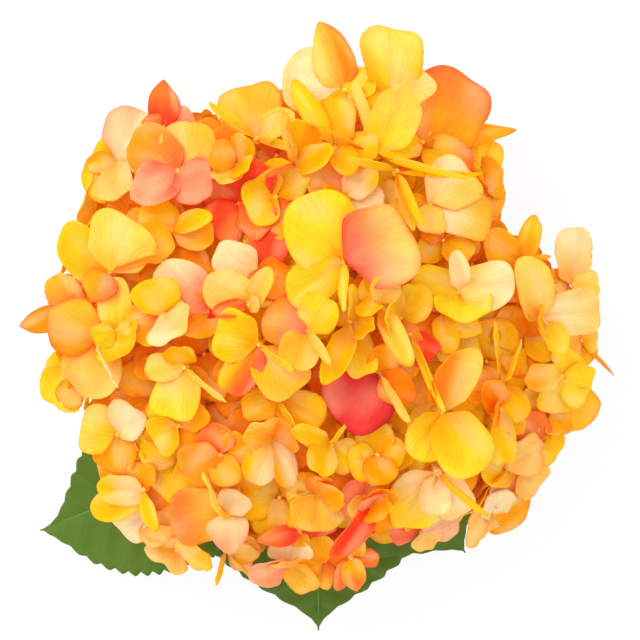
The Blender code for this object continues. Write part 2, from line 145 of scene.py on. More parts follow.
# The other florets of the solid model, deepest first: hub across and up, height over the dome, extra lean,
# and each sepal's bearing, length, width, how it is held where it isn't flat, its tint and its outline where
# it has one of its own.
FLORETS = [
    ("floret_13", -75, -17, -6, 14, [
        (118, 8, 13, "gold", "toothed"), (258, 11, 12, "gold^yellow", "toothed"),
        (20, 12, 12, "cup", "gold"), (300, 10, 12, "orange")]),
    ("floret_14", 80, 10, -4, 10, [
        (262, 11, 12, "peach"), (92, 16, 10, "peach^cream", "toothed"),
        (190, 9, 9, "orange"), (335, 9, 11, "pale")]),
    ("floret_15", 77, -19, 0, 6, [
        (265, 11, 13, "pale^gold"), (178, 14, 8, "pale^orange"),
        (55, 9, 12, "yellow"), (330, 9, 12, "yellow")]),
    ("floret_16", -42, -73, 4, 8, [
        (225, 8, 13, "tangerine^peach"), (5, 11, 11, "pale^gold"),
        (118, 8, 12, "peach"), (30, 10, 10, "peach")]),
    ("floret_17", -60, 48, -3, 4, [
        (228, 13, 12, "orange^gold"), (62, 16, 14, "blush<cream"),
        (155, 9, 14, "tangerine^gold"), (272, 13, 11, "peach")]),
    ("floret_18", 52, 42, -5, 10, [
        (270, 12, 12, "orange"), (0, 6, 12, "orange"),
        (78, 12, 10, "yellow"), (180, 9, 10, "cup", "orange")]),
    ("floret_19", 64, -49, -4, 4, [
        (250, 12, 13, "peach<blush"), (330, 8, 12, "peach"),
        (75, 13, 13, "apricot"), (160, 12, 11, "gold")]),
    ("floret_20", -60, -37, -4, 0, [
        (262, 11, 13, "orange"), (158, 11, 14, "gold^pale"),
        (325, 9, 9, "gold"), (55, 10.5, 12, "cream")]),
    ("floret_21", 2, -55, -4, 0, [
        (268, 11, 16, "apricot"), (88, 10, 8, "bowl", "tangerine"),
        (175, 9, 12, "gold"), (5, 8, 11, "cup", "orange")]),
    ("floret_22", -11, 36, -3, 0, [
        (62, 11, 14, "gold^bright"), (205, 9.5, 13, "gold^bright"),
        (292, 13, 9, "coral^orange"), (130, 8, 10, "gold")]),
    ("floret_23", 10, 37, -3, 0, [
        (335, 11, 13, "cream"), (38, 11, 10, "cream^gold"),
        (140, 12, 12, "coral^peach"), (215, 8, 9, "cup", "orange")]),
    ("floret_24", -31, 1, -5, 0, [
        # The first sepal here is pink, and the cream towards its tip is painted highlight.
        (136, 19, 14, "pink^cream"), (58, 7, 9, "deep"),
        (240, 10, 10, "cup", "orange"), (325, 9, 10, "red")]),
    ("floret_25", 21, -18, -3, 0, [
        (224, 18, 21, "crimson"), (300, 15, 3.5, "edge", "pale"),
        (80, 9, 9, "cup", "orange"), (320, 11, 11, "deep")]),
    ("floret_26", -43, 26, -2, 0, [
        (352, 12, 9, "orange"), (18, 13, 7, "fold", "gold^bright"),
        (140, 11, 12, "gold"), (215, 12, 11, "gold")]),
    ("floret_27", -66, -8, -1, 0, [
        (256, 16, 18, "apricot^peach"), (148, 15, 17, "deep<apricot"),
        (60, 10, 11, "peach"), (296, 16, 4, "edge", "cream")]),
    ("floret_28", 71, -1, 0, 0, [
        (8, 18, 13.5, "cream^peach"), (111, 18, 12, "pale"),
        (300, 12, 9, "fold", "yellow"), (195, 11, 10, "cup", "gold")]),
    ("floret_29", 27, -1, -4, 0, [
        (285, 10, 9, "deep"), (125, 13, 10, "bowl", "pale"),
        (50, 11, 11, "bowl", "yellow"), (185, 9, 9, "cup", "yellow")]),
    ("floret_30", -16, -9, 2, 0, [
        (305, 18, 14, "gold^apricot"), (160, 14, 14, "gold^bright"),
        (235, 16, 11, "red<gold"), (322, 12, 3.5, "edge", "bright")]),
    ("floret_31", -12, -38, -2, 0, [
        (246, 14, 11, "hood", "cream<gold", "round"), (125, 10, 13, "cup", "apricot"),
        (290, 14, 9, "hood", "cream<orange", "round"), (35, 10, 12, "cup", "tangerine")]),
    ("floret_32", -26, -61, 0, 0, [
        (185, 17, 16.5, "apricot^coral"), (114, 17, 8, "turn", "pale"),
        (274, 11, 12, "bowl", "cream^blush"), (60, 8, 9, "cream")]),
    ("floret_33", -39, -16, 0, 0, [
        (255, 16, 13, "pale^yellow"), (178, 11, 8, "pale"),
        (105, 8, 9, "cup", "gold"), (318, 14, 3, "edge", "pale")]),
    ("floret_34", -62, 13, 3, 0, [
        (143, 18, 14, "orange^gold"), (64, 18, 18, "pale"),
        (20, 17, 3, "edge", "tangerine"), (236, 9, 10, "coral<orange")]),
    ("floret_35", -45, 0, 0, 0, [
        (205, 12, 13, "coral^gold"), (108, 11, 13, "gold"),
        (20, 6, 7, "peach"), (303, 8, 15, "bowl", "peach<cream")]),
    ("floret_36", 39, -49, 0, 0, [
        (232, 18, 17, "cream^yellow"), (300, 14, 11, "cream"),
        (262, 12, 10, "bowl", "cream"), (318, 17, 3.5, "edge", "bright")]),
    ("floret_37", 20, 49, 0, 0, [
        (352, 22, 2.2, "edge", "bright"), (64, 20, 15, "bowl", "yellow^pale"),
        (146, 18, 2.5, "edge", "gold^bright"), (108, 22, 3.5, "yellow^pale", "strap")]),
    ("floret_38", -17, 54, 0, 0, [
        (100, 17, 17, "apricot"), (28, 13, 9, "fold", "pale"),
        (352, 10, 2.5, "edge", "bright"), (141, 16, 2.5, "turn", "yellow")]),
    ("floret_39", 10, 69, 5, 0, [
        (168, 18, 19, "cream"), (112, 18, 12, "pale<deep", "point"),
        (232, 13, 14, "gold"), (20, 9, 10, "yellow")]),
    ("floret_40", 34, 53, 0, 0, [
        (9, 25, 7, "wide", "gold^orange", "point"), (55, 22, 25, "wide", "orange^coral"),
        (330, 17, 10, "bright^coral"), (195, 13, 9, "bright")]),
    ("floret_41", 36, 34, 0, 0, [
        (344, 19, 14, "cream^apricot"), (42, 16, 15, "cream<pale"),
        (200, 9, 9, "gold"), (270, 9, 9, "pale")]),
    ("floret_42", 45, 7, 0, 0, [
        (163, 14, 10, "yellow"), (12, 16, 13, "pale^cream"),
        (288, 8, 17, "bowl", "yellow"), (97, 12, 7, "fold", "cream")]),
    ("floret_43", 40, -30, 5, 0, [
        (240, 15, 12, "gold^yellow", "round"), (299, 20, 15.5, "gold^yellow", "round"),
        (70, 19, 13, "bowl", "deep<pale"), (115, 17, 3, "edge", "bright")]),
    ("floret_44", -41, 44, 3, 0, [
        (143, 17, 14, "coral^tangerine"), (212, 14, 14, "rose^pink"),
        (71, 15, 15, "peach^apricot"), (322, 11, 15, "rose^pink")]),
    ("floret_45", -1, -5, 4, 0, [
        (160, 13, 14, "pink^tangerine"), (62, 11.5, 12, "bowl", "yellow"),
        (245, 11, 12, "bowl", "apricot"), (305, 10, 3.5, "edge", "pale")]),
    ("floret_46", -19, 3, 3, 0, [
        (151, 14, 12, "pale^peach"), (58, 12.5, 8, "fold", "pale"),
        (192, 10.5, 6, "fold", "coral"), (5, 5, 5, "cup", "peach")]),
    ("floret_47", 10, 16, 4, 0, [
        (125, 22, 21, "yellow"), (22, 21, 24, "rose^peach"),
        (212, 19, 13, "gold^yellow"), (268, 13, 3.5, "edge", "yellow")]),
    ("floret_48", 25, 66, 7, 0, [
        (160, 9, 11, "gold"), (93, 21, 17, "gold^pale", "fan"),
        (262, 9, 9, "gold"), (40, 12, 13, "pale^peach")]),
]

# Smaller florets between those, which the solid model leaves out, in the same terms.
SMALL = [
    ("small_01", -46, 58, 5, -32, [
        (91, 12.5, 9, "red^coral", "point"), (165, 6, 7, "coral"),
        (20, 9, 9, "pink"), (270, 3, 5, "coral")]),
    ("small_02", -5, 46, -2, 0, [
        (74, 13, 11, "cup", "gold<deep"), (106, 15, 6, "edge", "pale"),
        (20, 11, 8, "cup", "gold"), (205, 9, 4, "edge", "coral")]),
    ("small_03", -24, 46, 0, 0, [
        (60, 9, 9, "cup", "orange"), (150, 8, 9, "cup", "apricot"),
        (240, 8, 9, "cup", "pale"), (330, 9, 8, "cup", "gold")]),
    ("small_04", -22, 34, -5, 0, [
        (228, 12.5, 12, "coral<red"), (59, 14, 13, "red"),
        (145, 12, 12, "red^coral"), (320, 12, 12, "coral")]),
    ("small_05", 7, 51, 3, 0, [
        (90, 14, 12, "orange^gold"), (125, 22, 6.5, "bright", "strap"),
        (5, 13, 9, "gold"), (305, 9, 8, "gold")]),
    ("small_06", 26, 44, -1, 0, [
        (5, 20, 2.2, "edge", "bright"), (296, 19, 2.5, "edge", "bright"),
        (284, 17, 4, "fold", "orange"), (165, 15, 2.5, "turn", "yellow")]),
    ("small_07", -17, 14, -4, 0, [
        (60, 12, 11, "red"), (157, 12.5, 11, "cream"),
        (330, 11, 11, "deep"), (250, 6, 7, "coral")]),
    ("small_08", 12, -2, -2, 0, [
        (248, 19, 9, "fold", "gold"), (88, 10, 5, "edge", "yellow"),
        (284, 17, 9, "gold^yellow"), (340, 9, 9, "cup", "bright")]),
    ("small_09", -60, -5, 1, 0, [
        (92, 15, 10, "yellow^pale"), (200, 7, 7, "gold"),
        (290, 7, 16, "bowl", "gold"), (350, 5, 7, "gold")]),
    ("small_10", -41, -34, -2, 0, [
        (120, 10, 13, "yellow"), (210, 9, 11, "gold"),
        (310, 10, 11, "orange"), (40, 10, 10, "orange")]),
    ("small_11", 64, 16, -3, 0, [
        (68, 14, 7, "orange^gold", "strap"), (150, 13, 11, "orange"),
        (250, 11, 11, "deep"), (14, 9, 3, "edge", "gold")]),
    ("small_12", 74, -30, -3, 0, [
        (160, 10, 12, "gold^pale"), (10, 13, 13, "gold^apricot"),
        (268, 6, 9, "gold"), (310, 7, 10, "orange")]),
    ("small_13", 58, -22, -3, 0, [
        (92, 17, 3.5, "edge", "bright"), (60, 14, 3.5, "edge", "gold"),
        (180, 10, 10, "orange"), (290, 11, 11, "gold")]),
    ("small_14", 34, -67, -3, 2, [
        (165, 9, 11, "rose"), (35, 11, 12, "blush"),
        (100, 9, 10, "gold"), (300, 5, 10, "peach")]),
    ("small_15", 55, -63, -2, 4, [
        (14, 12.5, 12, "orange"), (65, 9, 9, "cream"),
        (285, 5, 10, "peach"), (205, 9, 10, "peach")]),
    ("small_16", 71, -40, -1, 0, [
        (118, 9, 11, "coral"), (330, 6, 10, "gold"),
        (40, 7, 8, "pale"), (215, 11, 12, "peach")]),
    ("small_17", 6, -40, -2, 0, [
        (315, 9, 11, "bright"), (150, 13, 7, "fold", "bright"),
        (60, 7, 4, "edge", "yellow"), (230, 9, 10, "cup", "gold")]),
    ("small_18", 20, -43, -2, 0, [
        (100, 9, 11, "gold"), (200, 9, 10, "bright"),
        (10, 8, 10, "gold"), (280, 9, 10, "cup", "orange")]),
    ("small_19", 16, -56, -1, 0, [
        (60, 9, 10, "tangerine"), (178, 7, 11, "pink"),
        (320, 8, 10, "cup", "orange"), (228, 7, 5, "cup", "pale")]),
    ("small_20", 20, -58, 0, 0, [
        (50, 7, 8, "cup", "orange"), (226, 20, 8, "fold", "red"),
        (300, 9, 9, "orange"), (140, 7, 8, "cup", "pink")]),
    ("small_21", -7, -77, -3, 0, [
        (80, 7, 13, "cream"), (188, 12, 9, "fold", "blush"),
        (306, 11, 9, "apricot"), (130, 8, 9, "cup", "peach")]),
    ("small_22", 12, -75, -3, 0, [
        (248, 11, 5, "coral", "strap"), (280, 9, 7, "gold^coral", "point"),
        (354, 8, 6, "coral"), (80, 7, 7, "orange")]),
    ("small_23", -28, -43, -1, 0, [
        (112, 9, 12, "coral"), (200, 12, 12, "tangerine"),
        (20, 9, 10, "orange"), (290, 9, 9, "apricot")]),
    ("small_24", -52, -54, -1, 0, [
        (205, 16, 10, "gold"), (178, 12.5, 9, "cream^gold"),
        (100, 8, 9, "orange"), (287, 12, 5, "bright", "strap")]),
    ("small_25", -50, -61, -4, 0, [
        (250, 9, 10, "tangerine"), (207, 11, 13, "cream"),
        (60, 9, 11, "deep"), (310, 10, 12, "peach")]),
    ("small_34", -55, -47, -12, 0, [
        (185, 12, 12, "deep^orange"), (250, 9, 12, "peach"),
        (320, 10, 12, "orange"), (80, 9, 11, "orange")]),
    ("small_26", -74, 0, -3, 0, [
        (192, 15, 8, "deep", "point"), (105, 12, 11, "coral^apricot", "toothed"),
        (245, 11, 11, "gold", "toothed"), (40, 7, 8, "tangerine")]),
    ("small_27", -27, -73, -4, 0, [
        (345, 9, 9, "blush"), (255, 10, 2.5, "turn", "gold"),
        (305, 13, 2.5, "edge", "pale"), (15, 10, 9, "pale")]),
    ("small_28", 40, 0, -4, 0, [
        (85, 9, 9, "coral^pink"), (335, 11, 9, "gold^yellow"),
        (235, 10, 9, "deep"), (280, 11, 8, "gold")]),
    ("small_29", 30, -6, -4, 0, [
        (262, 13, 9, "gold"), (295, 21, 2.8, "edge", "yellow"),
        (215, 9, 9, "deep"), (310, 10, 9, "red")]),
    ("small_30", 58, -29, 0, 0, [
        (276, 17, 7, "gold^bright"), (120, 9, 8, "deep"),
        (315, 9, 8, "orange"), (200, 9, 8, "cup", "deep")]),
    ("small_31", 84, -8, -8, 0, [
        (317, 14, 1.2, "tangerine", "point"), (30, 5, 10, "gold^pale"),
        (275, 9, 10, "gold"), (200, 9, 9, "apricot")]),
    ("small_33", -4, -67, -5, 0, [
        (20, 11, 7, "red"), (190, 11, 6, "red^coral"),
        (270, 5, 6, "orange"), (98, 8, 6, "gold")]),
    ("small_35", 4, -76, -6, 0, [
        (250, 9, 9, "coral^gold"), (110, 8, 10, "orange"),
        (20, 8, 9, "deep"), (180, 8, 9, "orange")]),
    ("small_36", 66, -6, -7, 0, [
        (250, 12, 13, "deep^orange"), (70, 12, 13, "orange"),
        (340, 11, 12, "gold"), (160, 11, 12, "orange")]),
    ("small_37", 56, -51, -12, 0, [
        (130, 12, 13, "deep"), (30, 8, 10, "peach"),
        (220, 10, 12, "gold"), (300, 12, 12, "orange")]),
    ("small_38", 20, 4, 1, 0, [
        (296, 20, 8, "fold", "pale<gold"), (60, 8, 9, "pale"),
        (120, 7, 8, "yellow"), (215, 7, 6, "edge", "gold")]),
    ("small_39", -10, -26, -2, 0, [
        (195, 11, 9, "gold^bright"), (300, 9, 3.5, "edge", "bright"),
        (335, 14, 11, "gold"), (110, 6, 8, "orange")]),
    ("small_32", 40, 23, -3, 0, [
        (220, 8, 9, "gold"), (320, 10, 9, "gold<orange"),
        (350, 11, 7, "orange"), (140, 7, 7, "deep")]),
]

GOLDEN_ANGLE = 137.5  # from each hidden floret to the next, which spreads them evenly
HIDDEN_REACH = 61  # how far out the hidden florets go, in millimetres
INNER_COUNT = 40  # florets hidden deep in the head, which close the gaps between the outer ones
INNER_SEPAL = (15, 15)
INNER_TINTS = ("orange", "gold", "deep", "orange", "gold", "tangerine", "orange")
MIDDLE_COUNT = 44  # florets just under the outer ones
MIDDLE_SEPAL = (13, 14)
MIDDLE_TINTS = ("gold", "orange", "orange", "bright", "deep", "orange", "gold", "tangerine", "gold", "deep")
HIDDEN_DEPTH = 9  # how far under the outer florets they sit, in millimetres
# Bearings that the two spirals start from, and how far a low floret's sepals are turned.
INNER_START = 20
MIDDLE_START = 75
BELT_TURN = 20
# Florets low on the sides, between those that rest on the surface: bearing and how far out.
BELT = [
    (26, 48), (52, 56), (77, 55), (103, 50), (129, 57), (154, 63), (180, 66),
    (206, 60), (231, 60), (257, 60), (283, 58), (309, 60), (334, 68), (0, 70),
]
BELT_HEIGHT = 30
BELT_SEPAL = (15, 15)
# The first random seed of each group of florets.
SEEDS = {"rim": 0, "dome": 100, "small": 200, "inner": 300, "belt": 400, "middle": 500}
# How far the low florets lean from upright, in degrees.
RIM_LEAN = 92
BELT_LEAN = 74
BELT_TINTS = ("orange", "gold", "apricot", "gold", "bright", "orange", "coral")

# The stage, in metres: the point that the camera looks at, the lamp, and the way that its back faces.
LOOKED_AT = Vector((0.0025, -0.0016, 0.055))
LAMP_PLACE = (-0.75, 0.75, 1.25)
LAMP_WAY = Vector((-0.75, 0.75, 1.2))
WHITE = (1, 1, 1, 1)
PAPER = (0.88, 0.88, 0.88, 1)

# Each tint: the sepal's heart, its blade and its rim. In a list above, "one<two" goes from one on the side
# that is anticlockwise to two on the other, and "one^two" from one at the base to two at the tip.
TINTS = {
    "yellow": ("#FFCE0C", "#FFE62C", "#FFE214"),
    "bright": ("#FFC204", "#FFE00C", "#FFE81C"),
    "pale": ("#FFD030", "#FFE468", "#FFDE40"),
    "cream": ("#FFD67C", "#FFF0BE", "#FFE894"),
    "gold": ("#FFB402", "#FFD608", "#FFE018"),
    "apricot": ("#FFB020", "#FFD03A", "#FFDC44"),
    "orange": ("#FF9A02", "#FFC008", "#FFD018"),
    "deep": ("#FF7E02", "#FFA804", "#FFBE0C"),
    "peach": ("#FFB848", "#FFDA70", "#FFE470"),
    "pink": ("#FF8A5E", "#FFB080", "#FFC688"),
    "coral": ("#FF6E2A", "#FF963C", "#FFAE48"),
    "rose": ("#F6563A", "#FF8C60", "#FFAC82"),
    "blush": ("#FFA070", "#FFCC9C", "#FFC48C"),
    "tangerine": ("#FF9008", "#FFAE20", "#FFBE28"),
    "red": ("#F03820", "#FF5C2C", "#FF863A"),
    "crimson": ("#DE2420", "#F44644", "#FC6C4C"),
}


def linear(code):
    """An sRGB hex colour as the linear red, green and blue that shaders work in."""
    parts = [int(code[i : i + 2], 16) / 255 for i in (1, 3, 5)]
    return tuple(c / 12.92 if c <= 0.04045 else ((c + 0.055) / 1.055) ** 2.4 for c in parts)


class HYDRANGEA_PG_head(bpy.types.PropertyGroup):
    sepal_scale: bpy.props.FloatProperty(
        name="Sepal scale", description="Size of every sepal beside its listed size", default=1.1
    )
    sepal_thickness: bpy.props.FloatProperty(
        name="Sepal thickness", description="Thickness of a sepal", default=0.00035, unit="LENGTH"
    )
    ruffle: bpy.props.FloatProperty(
        name="Ruffle", description="How far a sepal's edge waves", default=0.0004, unit="LENGTH"
    )
    bud_radius: bpy.props.FloatProperty(
        name="Bud radius", description="Radius of a floret's bud", default=0.0008, unit="LENGTH"
    )
    stalk_radius: bpy.props.FloatProperty(
        name="Stalk radius", description="Radius of a floret's stalk", default=0.0006, unit="LENGTH"
    )
    bud_colour: bpy.props.FloatVectorProperty(
        name="Bud colour", description="Colour of the buds", default=linear("#F4D65A"), subtype="COLOR"
    )
    leaf_colour: bpy.props.FloatVectorProperty(
        name="Leaf colour", description="Colour of the leaves", default=linear("#5E821A"), subtype="COLOR"
    )
    vein_colour: bpy.props.FloatVectorProperty(
        name="Vein colour", description="Colour of leaf veins", default=linear("#8FAE5C"), subtype="COLOR"
    )
    stem_colour: bpy.props.FloatVectorProperty(
        name="Stem colour", description="Colour of the stem", default=linear("#7E9A48"), subtype="COLOR"
    )


class HYDRANGEA_PG_stage(bpy.types.PropertyGroup):
    lens: bpy.props.FloatProperty(
        name="Lens", description="Focal length in millimetres of a 36 mm wide camera", default=300.0
    )
    view_width: bpy.props.FloatProperty(
        name="View width", description="Width in view at mid height", default=0.1984, unit="LENGTH"
    )
    fill: bpy.props.FloatProperty(
        name="Fill", description="Strength of the light from all round", default=1.2
    )
    key: bpy.props.FloatProperty(
        name="Key", description="Power in watts of the soft lamp", default=10.5
    )


def head():
    """The sizes and colours of the head, as the sidebar has them."""
    return bpy.context.scene.hydrangea_head


def deselect():
    bpy.ops.object.select_all(action="DESELECT")


def bearing(angle, length=1.0, height=0.0):
    turn = math.radians(angle)
    return Vector((length * math.cos(turn), length * math.sin(turn), height))


def dome_height(across, up):
    """The dome's height over this place."""
    share = min(0.97, math.hypot(across, up) / DOME_ACROSS)
    return DOME_FOOT + DOME_TALL * math.sqrt(1 - share * share)


def dome_lean(across, up):
    """How far, in degrees, the dome leans from level at this place."""
    share = min(0.97, math.hypot(across, up) / DOME_ACROSS)
    slope = (share / DOME_ACROSS) / (math.sqrt(1 - share * share) / DOME_TALL)
    return LEAN_SHARE * math.degrees(math.atan(slope))


def facing(across, up, lean):
    """Turns a floret's own upright axis to the way it leans from the middle of the head."""
    away = math.atan2(up, across)
    axis = Vector((-math.sin(away), math.cos(away), 0))
    return Matrix.Rotation(math.radians(lean), 3, axis)


def sepal_points(across, along, length, width, held, pair, over=0.0):
    """Bends a flat blade, across and along in shares of its size, to how the sepal is held, in millimetres.

    over is a height of its own, in millimetres, square to the blade."""
    rise, curl, bend, roll = held
    start = math.radians(rise + PAIR_RISE * pair)
    curve = math.radians(curl) or 0.001
    angle = start + curve * along
    out = length * (np.sin(angle) - math.sin(start)) / curve
    tall = length * (math.cos(start) - np.cos(angle)) / curve
    hoop = (math.radians(bend) or 0.001) / width
    side = np.sin(hoop * width * across) / hoop
    over = over + (1 - np.cos(hoop * width * across)) / hoop
    # The roll comes in over the first third, and the blade is raised so that its lower edge doesn't sink.
    turn = math.radians(roll) * np.minimum(1, along / 0.3)
    raised = 0.36 * width * np.abs(np.sin(turn))
    side, over = (
        side * np.cos(turn) - over * np.sin(turn),
        side * np.sin(turn) + over * np.cos(turn) + raised,
    )
    out = out - np.sin(angle) * over
    tall = tall + np.cos(angle) * over + PAIR_GAP * pair
    return np.stack([out, side, tall], axis=-1)


def blade_outline(disc, shape, chance):
    """Draws the unit disc out to a sepal's flat outline: shares of its width and of its length."""
    edge = np.hypot(disc[:, 0], disc[:, 1])
    ray = np.arctan2(disc[:, 0], disc[:, 1])
    full = 1.0
    if shape in ("fan", "round", "toothed"):
        full = (np.abs(np.sin(ray)) ** SQUARENESS + np.abs(np.cos(ray)) ** SQUARENESS) ** (-1 / SQUARENESS)
    across, along = disc[:, 0] * full, np.maximum(0.5 + 0.5 * disc[:, 1] * full, 0)
    # Each outline narrows to a claw at its base and keeps its own width and tip beyond.
    if shape == "fan":
        wide = np.minimum(1, along / 0.22) ** 0.62 * (0.88 + 0.26 * along)
        far = along - 0.06 * along**4 * (1 - across**2)
    elif shape == "point":
        wide = np.minimum(1, along / 0.16) ** 0.55 * (1.1 - 0.24 * along)
        far = along + 0.1 * along**5 * (1 - np.abs(across)) ** 2
    elif shape == "strap":
        wide = np.minimum(1, along / 0.3) ** 0.8
        far = along
    else:
        wide = np.minimum(1, along / 0.14) ** 0.5 * (1.06 - 0.08 * along)
        far = along
    phase = chance.uniform(0, 2 * math.pi, 4)
    uneven = 0.045 * np.sin(2 * ray + phase[0]) + 0.036 * np.sin(3 * ray + phase[1])
    uneven = uneven + 0.02 * np.sin(5 * ray + phase[2])
    if shape == "toothed":
        uneven = uneven + 0.02 * np.sin(23 * ray + phase[3])
    uneven = uneven * edge**4
    return 0.5 * across * wide * (1 + uneven), far + 0.5 * uneven * disc[:, 1]


def blade_relief(disc, width, chance):
    """How far the blade waves, curls and creases off its even curve, in millimetres."""
    across, along = disc[:, 0], 0.5 + 0.5 * disc[:, 1]
    edge = np.hypot(disc[:, 0], disc[:, 1])
    ray = np.arctan2(disc[:, 0], disc[:, 1])
    phase = chance.uniform(0, 2 * math.pi, 6)
    # The heights are those of a sepal 16 mm wide.
    size = width / 16
    lip = 1.2 * chance.uniform(-1, 1.2) * edge**5 * np.cos(ray + phase[0])
    swell = 1.0 * np.sin(1.9 * across + phase[1]) * np.sin(2.4 * along + phase[2]) * edge
    waves = 0.8 * np.sin(5 * ray + phase[3]) + 0.5 * np.sin(8 * ray + phase[4])
    ruffle = head().ruffle / MM * edge**4 * waves
    pleat = 0.3 * np.sin(8.5 * np.arctan2(across, along + 0.2) + phase[5]) * ramp(along, 0.15, 0.7)
    crease = -0.4 * np.exp(-((across / 0.1) ** 2)) * (1 - ramp(along, 0.5, 1.0)) * ramp(along, 0.0, 0.2)
    return size * (lip + swell + ruffle + pleat + crease)


def turned(points, angle):
    """Points turned about the upright axis."""
    turn = math.radians(angle)
    spin = np.array([[math.cos(turn), -math.sin(turn), 0], [math.sin(turn), math.cos(turn), 0], [0, 0, 1]])
    return points @ spin.T


def frame_shift():
    """From the layout's own origin, on the stem's axis, to the frame's, in millimetres."""
    low, high = (Vector(corner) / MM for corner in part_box("stem"))
    return Vector(((low.x + high.x) / 2, (low.y + high.y) / 2, low.z - STEM_FOOT))


def mix(one, two, share):
    """One where the share is 0, two where it is 1."""
    share = np.asarray(share)[..., None]
    return np.asarray(one) * (1 - share) + np.asarray(two) * share


def ramp(value, low, high):
    """A smooth step from 0 at low to 1 at high."""
    share = np.clip((value - low) / (high - low), 0, 1)
    return share * share * (3 - 2 * share)


def vertex_places(mesh):
    flat = np.empty(len(mesh.vertices) * 3, dtype=np.float32)
    mesh.vertices.foreach_get("co", flat)
    return flat.reshape(-1, 3).astype(float)


def map_blade(mesh, places):
    """Keeps each vertex's place on the flat blade in the UV map that the veins are drawn by."""
    corners = np.empty(len(mesh.loops), dtype=np.int32)
    mesh.loops.foreach_get("vertex_index", corners)
    mesh.uv_layers.active.name = "blade"
    mesh.uv_layers["blade"].data.foreach_set("uv", places[corners].astype(np.float32).ravel())


def sepal_template(steps):
    """A square grid drawn out to a disc, with its place on the disc kept in the UV map."""
    deselect()
    bpy.ops.mesh.primitive_grid_add(x_subdivisions=steps, y_subdivisions=steps, size=2, location=(0, 0, 0))
    template = bpy.context.object
    mesh = template.data
    square = vertex_places(mesh)
    across = square[:, 0] * np.sqrt(1 - 0.5 * square[:, 1] ** 2)
    along = square[:, 1] * np.sqrt(1 - 0.5 * square[:, 0] ** 2)
    disc = np.stack([across, along], axis=-1)
    map_blade(mesh, 0.5 + 0.5 * disc)
    mesh.attributes.new("tint", "FLOAT_COLOR", "POINT")
    bpy.ops.object.shade_smooth()
    template.name = "sepal_template"
    return template, disc


def tint_names(tint):
    """The one or two tints that a listed sepal's tint names."""
    return tint.replace("<", " ").replace("^", " ").split()


def sepal_tints(disc, tint, chance):
    """Each point's colour, from the heart through the blade to the rim."""
    across, along = disc[:, 0], 0.5 + 0.5 * disc[:, 1]
    edge = np.hypot(disc[:, 0], disc[:, 1])
    ray = np.arctan2(across, along + 0.15)
    names = tint_names(tint)
    share = ramp(-across, -0.6, 0.6) if "<" in tint else ramp(along, 0.2, 0.85)
    share = np.clip(share + 0.08 * np.sin(6 * ray + chance.uniform(0, 6)), 0, 1)
    first, second = ([np.array(linear(code)) for code in TINTS[name]] for name in (names[0], names[-1]))
    heart, blade, rim = (mix(one, two, share) for one, two in zip(first, second))
    phase = chance.uniform(0, 2 * math.pi, 5)
    # The heart's colour runs out along the veins, clouds the blade, and washes over one side and the rim.
    streak = 0.06 * np.sin(9 * ray + phase[0]) + 0.05 * np.sin(17 * ray + phase[1])
    depth = 0.85 * (1 - ramp(along + streak, 0.02, chance.uniform(0.28, 0.5)))
    colour = blade * (1 - depth[:, None]) + heart * depth[:, None]
    cloud = np.sin(2.6 * across + phase[2]) * np.sin(3.1 * along + phase[3])
    cloud = cloud + 0.5 * np.sin(4.3 * (across - along) + phase[4])
    warm = 0.32 * np.clip(cloud, 0, 1)[:, None]
    # Where the cloud runs below nought, the blade is mixed towards pale cream: this is painted highlight, not
    # the sepal's own colour.
    painted_highlight = 0.3 * np.clip(-cloud, 0, 1)[:, None]
    colour = colour * (1 - warm) + heart * warm
    colour = colour * (1 - painted_highlight) + np.array(linear("#FFEFB8")) * painted_highlight
    wash = chance.uniform(0, 0.6) * ramp(np.sin(ray + phase[4]) * edge, 0.35, 0.95)[:, None]
    colour = colour * (1 - wash) + heart * wash
    band = chance.uniform(0.3, 0.75) * ramp(edge, 0.82, 1.0)[:, None]
    # About six sepals in ten have a rim of their own colour, and the others one like the heart.
    return colour * (1 - band) + (rim if phase[2] > 2.6 else heart) * band


def new_copy(template, name, places):
    """A copy of a template with its own mesh, its vertices at these places in metres."""
    mesh = template.data.copy()
    mesh.vertices.foreach_set("co", np.asarray(places, dtype=np.float32).ravel())
    mesh.update()
    piece = bpy.data.objects.new(name, mesh)
    bpy.context.collection.objects.link(piece)
    return piece


def paint(piece, colours):
    """Writes each vertex's colour to the piece's tint attribute."""
    full = np.ones((len(piece.data.vertices), 4), dtype=np.float32)
    full[:, :3] = colours
    piece.data.attributes["tint"].data.foreach_set("color", full.ravel())


def aimed(angle, length, bends, turn):
    """The bearing, length and spread in a floret's own plane that look, from above, as they should."""
    tip = sepal_points(np.zeros(1), np.ones(1), 1.0, 1.0, bends, 0)[0]
    tries = np.radians(np.arange(0, 360, 2.0))
    local = np.stack([tip[0] * np.cos(tries), tip[0] * np.sin(tries), np.full(len(tries), tip[2])], axis=-1)
    seen = (local @ np.array(turn).T)[:, :2]
    wish = np.array(bearing(angle)[:2]) * length
    reach = (seen @ wish) / (seen**2).sum(axis=1)
    reach = np.clip(reach, LEAST_STRETCH * length, MOST_STRETCH * length)
    best = np.argmin(np.linalg.norm(seen * reach[:, None] - wish, axis=1))
    side = np.array(turn)[:2, :2] @ np.array([-math.sin(tries[best]), math.cos(tries[best])])
    spread = min(MOST_STRETCH, 1 / max(np.linalg.norm(side), 0.1))
    return math.degrees(tries[best]), reach[best], spread


def listed(spec):
    """A listed sepal's bearing, length, width, how it is held, tint and outline."""
    angle, length, width, *words = spec
    held = words.pop(0) if words[0] in HELD else "flat"
    tint, shape = (*words, None)[:2]
    return angle, length, width, held, tint, shape


